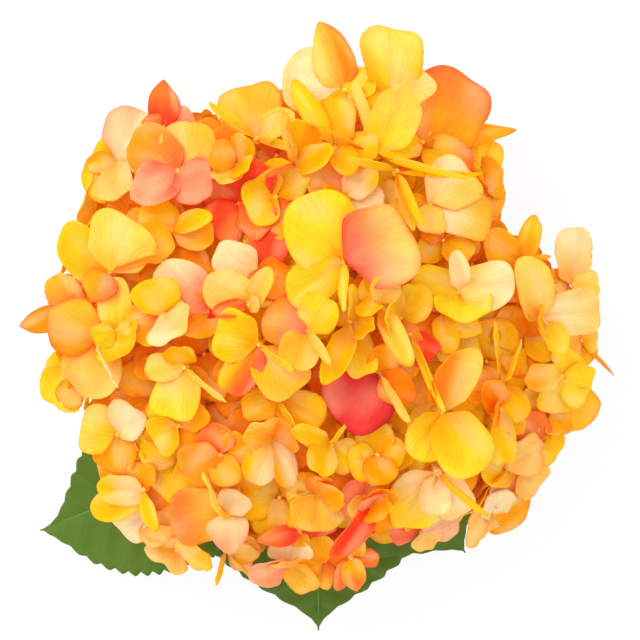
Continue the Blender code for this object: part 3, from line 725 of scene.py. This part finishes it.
def add_sepal(template, disc, spec, pair, chance, matrix):
    """One sepal as an open sheet, coloured by its tint."""
    angle, length, width, held, tint, shape = listed(spec)
    scale = head().sepal_scale
    length, width = length * scale, width * scale
    bends = [value * chance.uniform(1 - UNLIKENESS, 1 + UNLIKENESS) for value in HELD[held]]
    if shape is None:
        shape = "strap" if held in NARROW else SHAPES[chance.randint(len(SHAPES))]
    angle, length, spread = aimed(angle, length, bends, matrix.to_3x3())
    # The width that is listed is the width that shows, and a rolled sepal hides part of its own.
    width = width * spread / max(math.cos(math.radians(abs(bends[3]))), 0.8)
    across, along = blade_outline(disc, shape, chance)
    local = sepal_points(across, along, length, width, bends, pair, blade_relief(disc, width, chance))
    place = np.array(matrix)
    piece = new_copy(template, "sepal", (turned(local, angle) @ place[:3, :3].T + place[:3, 3]) * MM)
    paint(piece, sepal_tints(disc, tint, chance))
    return piece


def stalk_template():
    """A straight stalk one unit tall, drawn up ring by ring from a circle."""
    deselect()
    bpy.ops.mesh.primitive_circle_add(vertices=8, radius=1, fill_type="NGON", location=(0, 0, 0))
    bpy.ops.object.mode_set(mode="EDIT")
    for step in range(STALK_RINGS):
        bpy.ops.mesh.extrude_region_move(TRANSFORM_OT_translate={"value": (0, 0, 1 / STALK_RINGS)})
    bpy.ops.mesh.select_all(action="SELECT")
    bpy.ops.mesh.normals_make_consistent(inside=False)
    bpy.ops.object.mode_set(mode="OBJECT")
    bpy.ops.object.shade_smooth()
    template = bpy.context.object
    template.data.attributes.new("tint", "FLOAT_COLOR", "POINT")
    return template


def along_path(template, name, path, radii):
    """A copy of the straight stalk laid along a path in millimetres, with a radius at each of its points."""
    places = vertex_places(template.data)
    count = len(path) - 1
    step = np.clip(np.round(places[:, 2] * count).astype(int), 0, count)
    spots = np.array([tuple(point) for point in path])
    ways = np.gradient(spots, axis=0)
    ways /= np.linalg.norm(ways, axis=1)[:, None]
    first = np.cross(ways, (0.31, 0.95, 0.05))
    first /= np.linalg.norm(first, axis=1)[:, None]
    second = np.cross(ways, first)
    wide = np.array(radii)[step][:, None]
    rings = spots[step] + wide * (places[:, :1] * first[step] + places[:, 1:2] * second[step])
    return new_copy(template, name, rings * MM), step / count


def bud_template():
    """A small closed bud with four shallow lobes."""
    deselect()
    bpy.ops.mesh.primitive_uv_sphere_add(segments=16, ring_count=10, radius=1, location=(0, 0, 0))
    bud = bpy.context.object
    places = vertex_places(bud.data)
    ray = np.arctan2(places[:, 1], places[:, 0])
    lobe = 1 + 0.12 * np.cos(4 * ray) * (1 - np.abs(places[:, 2]))
    places[:, :2] *= lobe[:, None]
    bud.data.vertices.foreach_set("co", places.astype(np.float32).ravel())
    bpy.ops.object.shade_smooth()
    bud.data.attributes.new("tint", "FLOAT_COLOR", "POINT")
    return bud


def nearest_knuckle(hub, name=None):
    """The knuckle that a floret's stalk leaves from: in the solid model, the one its stalk reaches."""
    knuckles = [bearing(angle, far, tall) for _, angle, far, tall in RAYS]
    if name is None:
        return min(knuckles, key=lambda knuckle: (hub - knuckle).length)
    points = vertex_places(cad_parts[name].data) / MM - np.array(frame_shift())
    return min(knuckles, key=lambda knuckle: np.linalg.norm(points - np.array(knuckle), axis=1).min())


def join(pieces, name):
    deselect()
    for piece in pieces:
        piece.select_set(True)
    bpy.context.view_layer.objects.active = pieces[0]
    bpy.ops.object.join()
    joined = bpy.context.object
    joined.name = name
    joined.data.name = name
    return joined


def add_walls(sheet, thickness):
    walls = sheet.modifiers.new("walls", "SOLIDIFY")
    walls.thickness = thickness
    walls.offset = 0
    bpy.ops.object.modifier_apply(modifier=walls.name)


def floret_stalk(template, name, hub, turn, knuckle, heart):
    """The stalk that bows up from a knuckle to the hub, green at its foot and like the sepals at its top."""
    foot = knuckle + (hub - knuckle).normalized() * (KNUCKLE_RADIUS + STALK_GAP)
    bow = hub - turn @ Vector((0, 0, 1)) * (hub - foot).length * 0.3
    path, radii = [], []
    for step in range(STALK_RINGS + 1):
        t = step / STALK_RINGS
        path.append(foot * (1 - t) ** 2 + bow * 2 * t * (1 - t) + hub * t * t + frame_shift())
        # The last quarter widens to a cup under the sepals.
        radii.append(head().stalk_radius / MM * (1 + 1.4 * max(0, t - 0.75) * 4))
    stalk, share = along_path(template, name + "_stalk", path, radii)
    paint(stalk, mix(head().stem_colour[:], heart, ramp(share, 0.2, 1.0)))
    stalk.data.materials.append(bpy.data.materials["green_shoot"])
    return stalk


def floret_bud(template, name, hub, turn, radius, heart):
    """The bud that sits on the hub, tinted half like the sepals."""
    places = vertex_places(template.data) * (1, 1, 0.92) * radius + (0, 0, radius * 1.2)
    centre = np.array((hub + frame_shift()) * MM)
    bud = new_copy(template, name + "_bud", places @ np.array(turn).T + centre)
    paint(bud, 0.55 * heart + 0.45 * np.array(head().bud_colour[:]))
    bud.data.materials.append(bpy.data.materials["bud_skin"])
    return bud


def make_floret(name, spec, hub, turn, templates, seed, node=None):
    """One floret: sepals, stalk and bud, in the frame's own place."""
    (sheet, disc), stalk, bud = templates
    chance = np.random.RandomState(seed)
    place = Matrix.Translation(hub + frame_shift()) @ turn.to_4x4()
    sheets = [add_sepal(sheet, disc, sepal, index % 2, chance, place) for index, sepal in enumerate(spec)]
    sepals = join(sheets, name)
    sepals.data.materials.append(bpy.data.materials["sepal_tissue"])
    add_walls(sepals, head().sepal_thickness)
    first_tint = tint_names(listed(spec[0])[4])[0]
    heart = np.array(linear(TINTS[first_tint][0]))
    column = floret_stalk(stalk, name, hub, turn, nearest_knuckle(hub, node), heart)
    radius = head().bud_radius * chance.uniform(1 - UNLIKENESS, 1 + UNLIKENESS)
    middle = floret_bud(bud, name, hub, turn, radius, heart)
    return join([sepals, column, middle], name)


def add_node(tree, kind, *values, **named):
    """Adds a shader node and sets or links its inputs: in order, by name, or as i4 for the one numbered 4.

    A name in small letters is a setting of the node's own, and a node given as a value stands for its first
    output."""
    node = tree.nodes.new("ShaderNode" + kind)
    inputs = dict(enumerate(values))
    for key, value in named.items():
        if key[1:].isdigit():
            inputs[int(key[1:])] = value
        elif key.islower():
            setattr(node, key, value)
        else:
            inputs[key.replace("_", " ")] = value
    for key, value in inputs.items():
        if isinstance(value, bpy.types.Node):
            value = value.outputs[0]
        if isinstance(value, bpy.types.NodeSocket):
            tree.links.new(value, node.inputs[key])
        else:
            node.inputs[key].default_value = value
    return node


def new_material(name):
    material = bpy.data.materials.new(name)
    material.use_nodes = True
    material.node_tree.nodes.clear()
    return material, material.node_tree


def sepal_tissue():
    """Living sepal: a thin sheet of water-filled cells with a waxy skin. Light passes through it and comes
    out more strongly coloured, and fine veins that fan from its base show a little darker."""
    material, tree = new_material("sepal_tissue")
    tint = add_node(tree, "Attribute", attribute_name="tint", attribute_type="GEOMETRY")
    place = add_node(tree, "UVMap", uv_map="blade")
    parts = add_node(tree, "SeparateXYZ", place)
    across = add_node(tree, "Math", parts, 0.5, operation="SUBTRACT")
    along = add_node(tree, "Math", parts.outputs[1], 0.35, operation="ADD")
    slope = add_node(tree, "Math", across, along, operation="DIVIDE")
    spot = add_node(tree, "TexCoord").outputs["Object"]
    # The tissue is cloudy in patches about 4 mm across.
    cloud = add_node(tree, "TexNoise", Vector=spot, Scale=250.0, Detail=2.0)
    # Veins fan out about 1.5 mm apart.
    bent = add_node(tree, "Math", cloud, 0.16, slope, operation="MULTIPLY_ADD")
    beat = add_node(tree, "Math", bent, 62.0, operation="MULTIPLY")
    wave = add_node(tree, "Math", beat, operation="COSINE")
    veins = add_node(tree, "MapRange", wave, From_Min=0.6, From_Max=1.0, interpolation_type="SMOOTHSTEP")
    patch = add_node(tree, "MapRange", cloud, From_Min=0.3, From_Max=0.7, To_Min=1.04, To_Max=0.95)
    cells = add_node(tree, "VectorMath", tint, Scale=patch, operation="SCALE")
    darker = add_node(tree, "VectorMath", cells, (0.99, 0.82, 0.6), operation="MULTIPLY")
    strength = add_node(tree, "Math", veins, 0.3, operation="MULTIPLY")
    colour = add_node(tree, "Mix", strength, i4=cells, i5=darker, data_type="VECTOR").outputs[1]
    relief = add_node(tree, "Bump", Height=wave, Strength=0.25, Distance=0.0002)
    skin = add_node(
        tree, "BsdfPrincipled", Base_Color=colour, Roughness=0.5, Normal=relief, Specular_IOR_Level=0.15
    )
    through = add_node(tree, "BsdfTranslucent", Color=colour, Normal=relief)
    blend = add_node(tree, "MixShader", 0.4, skin, through)
    add_node(tree, "OutputMaterial", blend)
    return material


def bud_skin():
    """Unopened flower bud: smooth, plump and a little waxy."""
    material, tree = new_material("bud_skin")
    tint = add_node(tree, "Attribute", attribute_name="tint", attribute_type="GEOMETRY")
    spot = add_node(tree, "TexCoord").outputs["Object"]
    # Each bud is cloudy in one or two patches, about 0.9 mm across.
    cloud = add_node(tree, "TexNoise", Vector=spot, Scale=1100.0)
    level = add_node(tree, "MapRange", cloud, From_Min=0.3, From_Max=0.7, To_Min=0.9, To_Max=1.08)
    colour = add_node(tree, "VectorMath", tint, Scale=level, operation="SCALE")
    skin = add_node(tree, "BsdfPrincipled", Base_Color=colour, Roughness=0.4)
    add_node(tree, "OutputMaterial", skin)
    return material


def green_shoot():
    """Young shoot: matt skin with fine grain and pale pores, green below and flushed with the floret's colour
    above."""
    material, tree = new_material("green_shoot")
    tint = add_node(tree, "Attribute", attribute_name="tint", attribute_type="GEOMETRY")
    spot = add_node(tree, "TexCoord").outputs["Object"]
    # The grain is about 1.4 mm across.
    grain = add_node(tree, "TexNoise", Vector=spot, Scale=700.0, Detail=3.0)
    # Pores about 0.4 mm across stand about 1.5 mm apart.
    pores = add_node(tree, "TexVoronoi", Vector=spot, Scale=650.0)
    dots = add_node(tree, "MapRange", pores, From_Min=0.12, From_Max=0.2, To_Min=0.5, To_Max=0.0)
    level = add_node(tree, "MapRange", grain, From_Min=0.3, From_Max=0.7, To_Min=0.85, To_Max=1.1)
    mixed = add_node(tree, "VectorMath", tint, Scale=level, operation="SCALE")
    pale = linear("#D8CE98")
    colour = add_node(tree, "Mix", dots, i4=mixed, i5=pale, data_type="VECTOR").outputs[1]
    relief = add_node(tree, "Bump", Height=grain, Strength=0.3, Distance=0.0003)
    skin = add_node(tree, "BsdfPrincipled", Base_Color=colour, Roughness=0.6, Normal=relief)
    add_node(tree, "OutputMaterial", skin)
    return material


def leaf_blade():
    """Hydrangea leaf: a leathery, half-glossy blade with sunk, paler netted veins."""
    material, tree = new_material("leaf_blade")
    place = add_node(tree, "UVMap", uv_map="blade")
    parts = add_node(tree, "SeparateXYZ", place)
    across = add_node(tree, "Math", parts, 0.5, operation="SUBTRACT")
    away = add_node(tree, "Math", across, operation="ABSOLUTE")
    swept = add_node(tree, "Math", away, -VEIN_SWEEP, parts.outputs[1], operation="MULTIPLY_ADD")
    # Nine side veins to the blade, about 9 mm apart.
    beat = add_node(tree, "Math", swept, 56.5, operation="MULTIPLY")
    wave = add_node(tree, "Math", beat, operation="COSINE")
    side = add_node(tree, "MapRange", wave, From_Min=0.93, From_Max=1.0, interpolation_type="SMOOTHSTEP")
    mid = add_node(tree, "MapRange", away, From_Min=0.012, From_Max=0.0, interpolation_type="SMOOTHSTEP")
    # The smallest cells of the vein net are about 2 mm across.
    spot = add_node(tree, "TexCoord").outputs["Object"]
    net = add_node(tree, "TexVoronoi", Vector=spot, Scale=480.0, feature="DISTANCE_TO_EDGE")
    mesh = add_node(tree, "MapRange", net, From_Min=0.1, From_Max=0.0)
    main_veins = add_node(tree, "Math", side, mid, operation="MAXIMUM")
    lines = add_node(tree, "Math", mesh, 0.3, main_veins, operation="MULTIPLY_ADD")
    # The green is cloudy in patches about 17 mm across.
    cloud = add_node(tree, "TexNoise", Vector=spot, Scale=60.0, Detail=4.0)
    base = (*head().leaf_colour, 1)
    dark = (*linear("#517216"), 1)
    veins = (*head().vein_colour, 1)
    mixed = add_node(tree, "Mix", cloud, i6=dark, i7=base, data_type="RGBA").outputs[2]
    share = add_node(tree, "Math", lines, 0.06, operation="MULTIPLY", use_clamp=True)
    colour = add_node(tree, "Mix", share, i6=mixed, i7=veins, data_type="RGBA").outputs[2]
    relief = add_node(tree, "Bump", Height=lines, Strength=0.15, Distance=0.0003, invert=True)
    skin = add_node(
        tree, "BsdfPrincipled", Base_Color=colour, Roughness=0.42, Normal=relief, Specular_IOR_Level=0.3
    )
    through = add_node(tree, "BsdfTranslucent", Color=colour)
    blend = add_node(tree, "MixShader", 0.2, skin, through)
    add_node(tree, "OutputMaterial", blend)
    return material


def keep(piece, material_slot, *nodes):
    """Hangs a finished piece on the root body and hides the solid model's nodes that it stands for."""
    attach(piece, "root")
    if nodes:
        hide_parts(*nodes)


class HYDRANGEA_OT_materials(bpy.types.Operator):
    """Make the sepal, bud, shoot and leaf materials"""

    bl_idname = "hydrangea.materials"
    bl_label = "Materials"

    def execute(self, context):
        sepal_tissue()
        bud_skin()
        green_shoot()
        leaf_blade()
        return {"FINISHED"}


def make_templates(steps):
    return sepal_template(steps), stalk_template(), bud_template()


def remove_templates(templates):
    (sheet, _), stalk, bud = templates
    for template in (sheet, stalk, bud):
        bpy.data.objects.remove(template)


def dome_place(across, up, height, lean):
    """A hub's place over the dome and the way that its floret faces."""
    hub = Vector((across, up, dome_height(across, up) + height))
    return hub, facing(across, up, UPRIGHT_SHARE * dome_lean(across, up) + lean)


class HYDRANGEA_OT_florets(bpy.types.Operator):
    """Make the florets of the solid model, each in its node's place"""

    bl_idname = "hydrangea.florets"
    bl_label = "Florets"

    def execute(self, context):
        templates = make_templates(LISTED_STEPS)
        for index, (node, angle, far, tall, spin, length, width, first, second) in enumerate(RIM):
            hub = bearing(angle, far, tall)
            turn = facing(hub.x, hub.y, RIM_LEAN)
            spec = [(spin + 90 * i, length, width, (first, second)[i % 2]) for i in range(4)]
            name = node.replace("floret", "bloom")
            floret = make_floret(name, spec, hub, turn, templates, SEEDS["rim"] + index, node)
            keep(floret, "sepals", node)
        for index, (node, across, up, height, lean, spec) in enumerate(FLORETS):
            hub, turn = dome_place(across, up, height, lean)
            name = node.replace("floret", "bloom")
            floret = make_floret(name, spec, hub, turn, templates, SEEDS["dome"] + index, node)
            keep(floret, "sepals", node)
        remove_templates(templates)
        return {"FINISHED"}


def hidden_floret(name, hub, turn, around, size, tint, templates, seed):
    """A floret with four like sepals, which closes a gap between the others."""
    spec = [(around + 90 * i, *size, tint) for i in range(4)]
    keep(make_floret(name, spec, hub, turn, templates, seed), "sepals")


class HYDRANGEA_OT_small_florets(bpy.types.Operator):
    """Make the smaller florets between the others, and those inside the head that close its gaps"""

    bl_idname = "hydrangea.small_florets"
    bl_label = "Small florets"

    def execute(self, context):
        templates = make_templates(SMALL_STEPS)
        for index, (name, across, up, height, lean, spec) in enumerate(SMALL):
            hub, turn = dome_place(across, up, height, lean)
            keep(make_floret(name, spec, hub, turn, templates, SEEDS["small"] + index), "sepals")
        remove_templates(templates)
        templates = make_templates(HIDDEN_STEPS)
        for index in range(INNER_COUNT):
            around = GOLDEN_ANGLE * index + INNER_START
            spot = bearing(around, HIDDEN_REACH * math.sqrt((index + 0.5) / INNER_COUNT))
            spot.z = dome_height(spot.x, spot.y) * 0.9 - HIDDEN_DEPTH
            turn = facing(spot.x, spot.y, dome_lean(spot.x, spot.y))
            tint = INNER_TINTS[index % len(INNER_TINTS)]
            name = f"inner_{index + 1:02d}"
            seed = SEEDS["inner"] + index
            hidden_floret(name, spot, turn, around, INNER_SEPAL, tint, templates, seed)
        for index in range(MIDDLE_COUNT):
            around = GOLDEN_ANGLE * index + MIDDLE_START
            spot = bearing(around, HIDDEN_REACH * math.sqrt((index + 0.5) / MIDDLE_COUNT))
            hub, turn = dome_place(spot.x, spot.y, -HIDDEN_DEPTH, 0)
            tint = MIDDLE_TINTS[index % len(MIDDLE_TINTS)]
            name = f"middle_{index + 1:02d}"
            seed = SEEDS["middle"] + index
            hidden_floret(name, hub, turn, around, MIDDLE_SEPAL, tint, templates, seed)
        for index, (around, far) in enumerate(BELT):
            hub = bearing(around, far, BELT_HEIGHT)
            turn = facing(hub.x, hub.y, BELT_LEAN)
            tint = BELT_TINTS[index % len(BELT_TINTS)]
            name = f"belt_{index + 1:02d}"
            seed = SEEDS["belt"] + index
            hidden_floret(name, hub, turn, around + BELT_TURN, BELT_SEPAL, tint, templates, seed)
        remove_templates(templates)
        return {"FINISHED"}


def leaf_half_width(along, width, taper, length):
    """Half the blade's width on one side, narrowing near its end to a drip tip."""
    body = np.sin(math.pi * np.minimum(1, along / 0.985) ** 0.92) ** taper
    tip = 1 - 0.6 * np.exp(-(((1 - along) * length / DRIP_TIP) ** 2))
    return 0.5 * width * body * tip * (1 - 0.2 * np.maximum(0, along - 0.72) / 0.28)


def leaf_height(along, base_z, mid_z, tip_z):
    """The midrib's height at a share of its length, in millimetres."""
    low = base_z + (tip_z - base_z) * along
    return low + 4 * (mid_z - (base_z + tip_z) / 2) * along * (1 - along)


def make_leaf(spec, stalk):
    """One leaf: a blade from a grid, its walls, and its midrib and stalk in one run."""
    name, tip_x, tip_y, angle, length, left, right, base_z, mid_z, tip_z, leaves_at = spec
    width = max(left[0], right[0])
    shift = frame_shift()
    along_way, side_way = bearing(angle), bearing(angle + 90)
    base = Vector((tip_x, tip_y, 0)) - along_way * length
    deselect()
    bpy.ops.mesh.primitive_grid_add(x_subdivisions=28, y_subdivisions=110, size=2, location=(0, 0, 0))
    leaf = bpy.context.object
    mesh = leaf.data
    grid = vertex_places(mesh)
    along = 0.01 + 0.99 * (0.5 + 0.5 * grid[:, 1])
    half = 0.25 + np.where(
        grid[:, 0] > 0,
        leaf_half_width(along, *left, length),
        leaf_half_width(along, *right, length),
    )
    # Each tooth leans towards the leaf's tip.
    beat = (along * TEETH) % 1
    tooth = TOOTH * np.sin(math.pi * beat**1.6) * np.clip(half / 12, 0, 1) * (along < 0.975)
    across = grid[:, 0] * (half + tooth * np.abs(grid[:, 0]) ** 6)
    swept = along * length - VEIN_SWEEP * np.abs(across)
    quilt = 0.35 * np.cos(2 * math.pi * swept / SIDE_VEIN_GAP) * np.clip(np.abs(across) / 6, 0, 1)
    tall = leaf_height(along, base_z, mid_z, tip_z) + 0.0022 * across**2
    tall = tall + quilt * (1 - np.abs(grid[:, 0]) ** 4) - 0.5 * np.exp(-((across / 1.4) ** 2))
    spots = np.outer(along * length, np.array(along_way)) + np.array(base)
    spots = spots + np.outer(across, np.array(side_way))
    spots[:, 2] = np.maximum(tall, LEAF_FLOOR)
    mesh.vertices.foreach_set("co", ((spots + np.array(shift)) * MM).astype(np.float32).ravel())
    map_blade(mesh, np.stack([0.5 + 0.5 * across / (0.5 * width), along], axis=-1))
    mesh.update()
    bpy.ops.object.shade_smooth()
    leaf.data.attributes.new("tint", "FLOAT_COLOR", "POINT")
    leaf.data.materials.append(bpy.data.materials["leaf_blade"])
    add_walls(leaf, LEAF_WALL * MM)
    path = [bearing(leaves_at, STEM_RADIUS - 0.3, base_z + 1.5)]
    path.append(bearing(leaves_at, STEM_RADIUS + 2, base_z + 1.4))
    radii = [2.0, 1.6]
    for share in (0.02, 0.12, 0.24, 0.36, 0.48, 0.6, 0.72, 0.84, 0.93):
        under = max(leaf_height(share, base_z, mid_z, tip_z) - 0.6, 0.8)
        path.append(base + along_way * (share * length) + Vector((0, 0, under)))
        radii.append(1.25 - share)
    rib, share = along_path(stalk, name + "_rib", [spot + shift for spot in path], radii)
    paint(rib, mix(head().stem_colour[:], head().leaf_colour[:], share))
    rib.data.materials.append(bpy.data.materials["green_shoot"])
    keep(join([leaf, rib], name.replace("leaf", "blade")), "leaves", name)


class HYDRANGEA_OT_leaves(bpy.types.Operator):
    """Make the toothed leaves with their midribs and stalks"""

    bl_idname = "hydrangea.leaves"
    bl_label = "Leaves"

    def execute(self, context):
        stalk = stalk_template()
        for spec in LEAVES:
            make_leaf(spec, stalk)
        bpy.data.objects.remove(stalk)
        return {"FINISHED"}


def turned_column(name, rings, sides):
    """An upright column drawn up through rings, each its height and its radius in millimetres."""
    deselect()
    bpy.ops.mesh.primitive_circle_add(
        vertices=sides, radius=rings[0][1] * MM, fill_type="NGON", location=(0, 0, rings[0][0] * MM)
    )
    bpy.ops.object.mode_set(mode="EDIT")
    for (low, narrow), (high, wide) in zip(rings, rings[1:]):
        bpy.ops.mesh.extrude_region_move(TRANSFORM_OT_translate={"value": (0, 0, (high - low) * MM)})
        bpy.ops.transform.resize(value=(wide / narrow, wide / narrow, 1), center_override=(0, 0, high * MM))
    bpy.ops.mesh.select_all(action="SELECT")
    bpy.ops.mesh.normals_make_consistent(inside=False)
    bpy.ops.object.mode_set(mode="OBJECT")
    bpy.ops.object.transform_apply(location=True, rotation=False, scale=False)
    bpy.ops.object.shade_smooth_by_angle(angle=math.radians(50))
    column = bpy.context.object
    column.name = name
    column.data.attributes.new("tint", "FLOAT_COLOR", "POINT")
    column.data.materials.append(bpy.data.materials["green_shoot"])
    paint(column, head().stem_colour[:])
    return column


class HYDRANGEA_OT_stem(bpy.types.Operator):
    """Make the cut stem with its swollen top, and the branches with their knuckles"""

    bl_idname = "hydrangea.stem"
    bl_label = "Stem and branches"

    def execute(self, context):
        shift = frame_shift()
        rings = [(STEM_FOOT, STEM_RADIUS), (4, STEM_RADIUS), (9, STEM_RADIUS + 0.3), (13, STEM_RADIUS)]
        for tall in (-4.4, -3, -1.5, 0, 1.5, 3, 4.4, 5.5, 6.0):
            rings.append((STEM_TOP + tall, math.sqrt(STEM_HEAD**2 - tall**2)))
        stem = turned_column("cut_stem", rings, 24)
        stem.data.transform(Matrix.Translation(shift * MM))
        keep(stem, "stem", "stem")
        top = Vector((0, 0, STEM_TOP))
        for name, angle, far, tall in RAYS:
            knuckle = bearing(angle, far, tall)
            way = (knuckle - top).normalized()
            reach = (knuckle - top).length
            rings = [(STEM_HEAD - 0.4, 2.3), (STEM_HEAD + 1.5, 1.8), (reach * 0.55, 1.5)]
            for past in (-4.4, -3.4, -2.4, -1.2, 0, 1.2, 2.4, 3.3, 3.85):
                rings.append((reach + past, max(math.sqrt(max(0, KNUCKLE_RADIUS**2 - past**2)), 1.2)))
            branch = turned_column(name.replace("ray", "branch"), rings, 16)
            turn = way.to_track_quat("Z", "Y").to_matrix().to_4x4()
            branch.data.transform(Matrix.Translation((top + shift) * MM) @ turn)
            keep(branch, "branches", name)
        return {"FINISHED"}


class HYDRANGEA_OT_stage(bpy.types.Operator):
    """Make the pale floor, the soft lights and the camera above the head"""

    bl_idname = "hydrangea.stage"
    bl_label = "Stage"

    def execute(self, context):
        settings = context.scene.hydrangea_stage
        deselect()
        bpy.ops.mesh.primitive_plane_add(size=8, location=(0, 0, 0))
        floor = context.object
        floor.name = "floor"
        floor.data.materials.append(self.floor_paint())
        world = bpy.data.worlds.new("studio")
        world.use_nodes = True
        context.scene.world = world
        tree = world.node_tree
        tree.nodes.clear()
        seen = add_node(tree, "LightPath").outputs["Is Camera Ray"]
        level = add_node(tree, "MapRange", seen, To_Min=settings.fill, To_Max=1.0)
        painted_highlight = add_node(tree, "Background", Color=WHITE, Strength=level)
        add_node(tree, "OutputWorld", painted_highlight)
        lamp = bpy.data.lights.new("soft_lamp", "AREA")
        lamp.shape = "DISK"
        lamp.size = 0.9
        lamp.energy = settings.key
        lamp.color = linear("#FFFDF8")
        soft = bpy.data.objects.new("soft_lamp", lamp)
        context.collection.objects.link(soft)
        soft.location = LAMP_PLACE
        soft.rotation_euler = LAMP_WAY.to_track_quat("Z", "Y").to_euler()
        self.camera(context, settings)
        context.scene.view_settings.view_transform = "Standard"
        # Light passes between the sepals many times before it comes out of a gap.
        context.scene.cycles.diffuse_bounces = 12
        context.scene.cycles.max_bounces = 16
        return {"FINISHED"}

    def floor_paint(self):
        """Matt white paper, which the eye sees as the white surround with a faint shadow."""
        material, tree = new_material("white_paper")
        spot = add_node(tree, "TexCoord").outputs["Object"]
        # The fibres lie in clouds about 2.5 mm across.
        fibre = add_node(tree, "TexNoise", Vector=spot, Scale=400.0)
        relief = add_node(tree, "Bump", Height=fibre, Strength=0.03, Distance=0.0002)
        matt = add_node(tree, "BsdfDiffuse", Color=PAPER, Normal=relief)
        white = add_node(tree, "Emission", Color=WHITE, Strength=1.0)
        seen = add_node(tree, "LightPath").outputs["Is Camera Ray"]
        share = add_node(tree, "Math", seen, 0.93, operation="MULTIPLY")
        blend = add_node(tree, "MixShader", share, matt, white)
        add_node(tree, "OutputMaterial", blend)
        return material

    def camera(self, context, settings):
        view = bpy.data.cameras.new("camera")
        view.lens = settings.lens
        view.sensor_width = 36
        view.clip_end = 20
        camera = bpy.data.objects.new("camera", view)
        context.collection.objects.link(camera)
        shift = frame_shift() * MM
        away = settings.view_width * settings.lens / view.sensor_width
        camera.location = (shift.x + LOOKED_AT.x, shift.y + LOOKED_AT.y, LOOKED_AT.z + away)
        context.scene.camera = camera


class HYDRANGEA_PT_panel(bpy.types.Panel):
    bl_label = "Hydrangea"
    bl_idname = "HYDRANGEA_PT_panel"
    bl_space_type = "VIEW_3D"
    bl_region_type = "UI"
    bl_category = "Hydrangea"

    def draw(self, context):
        for group in (context.scene.hydrangea_head, context.scene.hydrangea_stage):
            for name in group.__annotations__:
                self.layout.prop(group, name)
        for step in OPERATORS:
            self.layout.operator(step.bl_idname)


OPERATORS = (
    HYDRANGEA_OT_materials,
    HYDRANGEA_OT_stem,
    HYDRANGEA_OT_leaves,
    HYDRANGEA_OT_florets,
    HYDRANGEA_OT_small_florets,
    HYDRANGEA_OT_stage,
)
CLASSES = (HYDRANGEA_PG_head, HYDRANGEA_PG_stage, *OPERATORS, HYDRANGEA_PT_panel)


def register():
    for cls in CLASSES:
        bpy.utils.register_class(cls)
    bpy.types.Scene.hydrangea_head = bpy.props.PointerProperty(type=HYDRANGEA_PG_head)
    bpy.types.Scene.hydrangea_stage = bpy.props.PointerProperty(type=HYDRANGEA_PG_stage)


def unregister():
    del bpy.types.Scene.hydrangea_stage
    del bpy.types.Scene.hydrangea_head
    for cls in reversed(CLASSES):
        bpy.utils.unregister_class(cls)


def main():
    register()
    bpy.ops.hydrangea.materials()
    bpy.ops.hydrangea.stem()
    bpy.ops.hydrangea.leaves()
    bpy.ops.hydrangea.florets()
    bpy.ops.hydrangea.small_florets()
    bpy.ops.hydrangea.stage()


if __name__ == "__main__":
    main()
